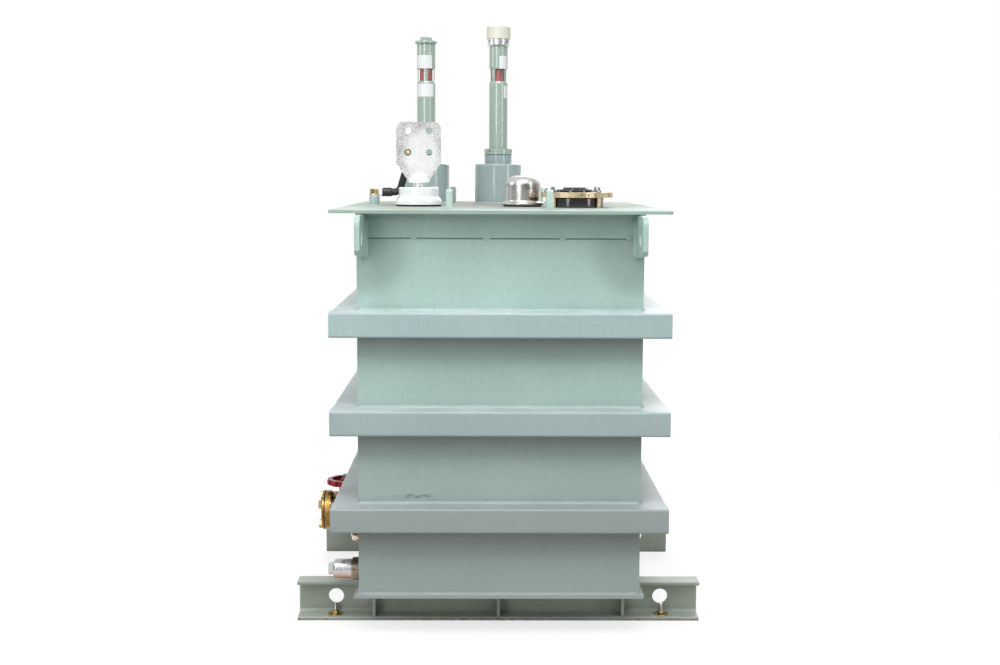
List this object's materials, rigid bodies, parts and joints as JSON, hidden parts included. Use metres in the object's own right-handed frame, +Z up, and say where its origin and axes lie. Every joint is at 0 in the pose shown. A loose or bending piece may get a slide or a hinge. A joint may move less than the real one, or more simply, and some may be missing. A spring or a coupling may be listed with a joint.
{
  "type": "power transformer",
  "caption": "Oil-filled power transformer: a grey-green welded tank with box ribs on channel skids, gauges, bushing and relief device on the lid, drain valve at the side.",
  "frame": {"origin": "on the ground under the middle of the tank", "axes": "+X right seen from the terminal end, -Y towards the terminal end, +Z up"},
  "size_m": [0.816, 1.02, 1.2395],
  "materials": {
    "tank_paint": "pale grey-green enamel, satin",
    "pedestal_paint": "bluish grey enamel, satin",
    "gauge_paint": "grey-green enamel, glossy",
    "gauge_glass": "clear",
    "float_red": "glossy red",
    "ring_grey": "turned, dull",
    "cap_cream": "satin cream",
    "gasket_black": "matt black",
    "porcelain_white": "white glaze",
    "stud_tinned": "tinned",
    "palm_cast": "rough cast",
    "boss_paint": "pale blue-green enamel",
    "sleeve_black": "black shrink sleeve",
    "dome_polished": "polished sheet",
    "relief_black": "satin black",
    "zinc_yellow": "yellow zinc plating",
    "valve_brass": "cast, dull",
    "wheel_red": "red enamel",
    "plug_steel": "bare steel, stained"
  },
  "bodies": {
    "tank": {"front_channel": "tank_paint", "rear_channel": "tank_paint", "front_gussets": "tank_paint", "rear_gussets": "tank_paint", "floor_plate": "tank_paint", "front_wall": "tank_paint", "rear_wall": "tank_paint", "left_wall": "tank_paint", "right_wall": "tank_paint", "end_collar_plates": "tank_paint", "side_collar_plates": "tank_paint", "front_ribs": "tank_paint", "rear_ribs": "tank_paint", "left_ribs": "tank_paint", "right_ribs": "tank_paint", "lid_plate": "tank_paint", "front_lifting_lugs": "tank_paint", "rear_lifting_lugs": "tank_paint", "lid_lugs": "tank_paint", "left_gauge_pedestal": "pedestal_paint", "right_gauge_pedestal": "pedestal_paint", "left_gauge_tube": "gauge_paint", "right_gauge_tube": "gauge_paint", "left_gauge_cap": "gauge_paint", "left_gauge_glass": "gauge_glass", "right_gauge_glass": "gauge_glass", "left_gauge_float": "float_red", "right_gauge_float": "float_red", "right_gauge_ring": "ring_grey", "right_gauge_cap": "cap_cream", "bushing_gasket": "gasket_black", "dome_gasket": "gasket_black", "bushing_porcelain": "porcelain_white", "terminal_stud": "stud_tinned", "terminal_palm": "palm_cast", "earth_boss": "boss_paint", "earth_link": "sleeve_black", "pressure_dome": "dome_polished", "relief_base": "relief_black", "relief_cap": "relief_black", "relief_ring": "zinc_yellow", "relief_legs": "zinc_yellow", "drain_neck": "valve_brass", "valve_body": "valve_brass", "blank_flange": "valve_brass", "sampling_plug": "valve_brass", "drain_plug": "plug_steel"},
    "valve_wheel": {"handwheel": "wheel_red"}
  },
  "joints": [
    {"name": "valve_wheel_turn", "type": "hinge", "parent": "tank", "child": "valve_wheel", "pos_m": [-0.348, 0.115, 0.2], "axis": [0, 0, 1], "range_deg": [0, 1000]}
  ]
}
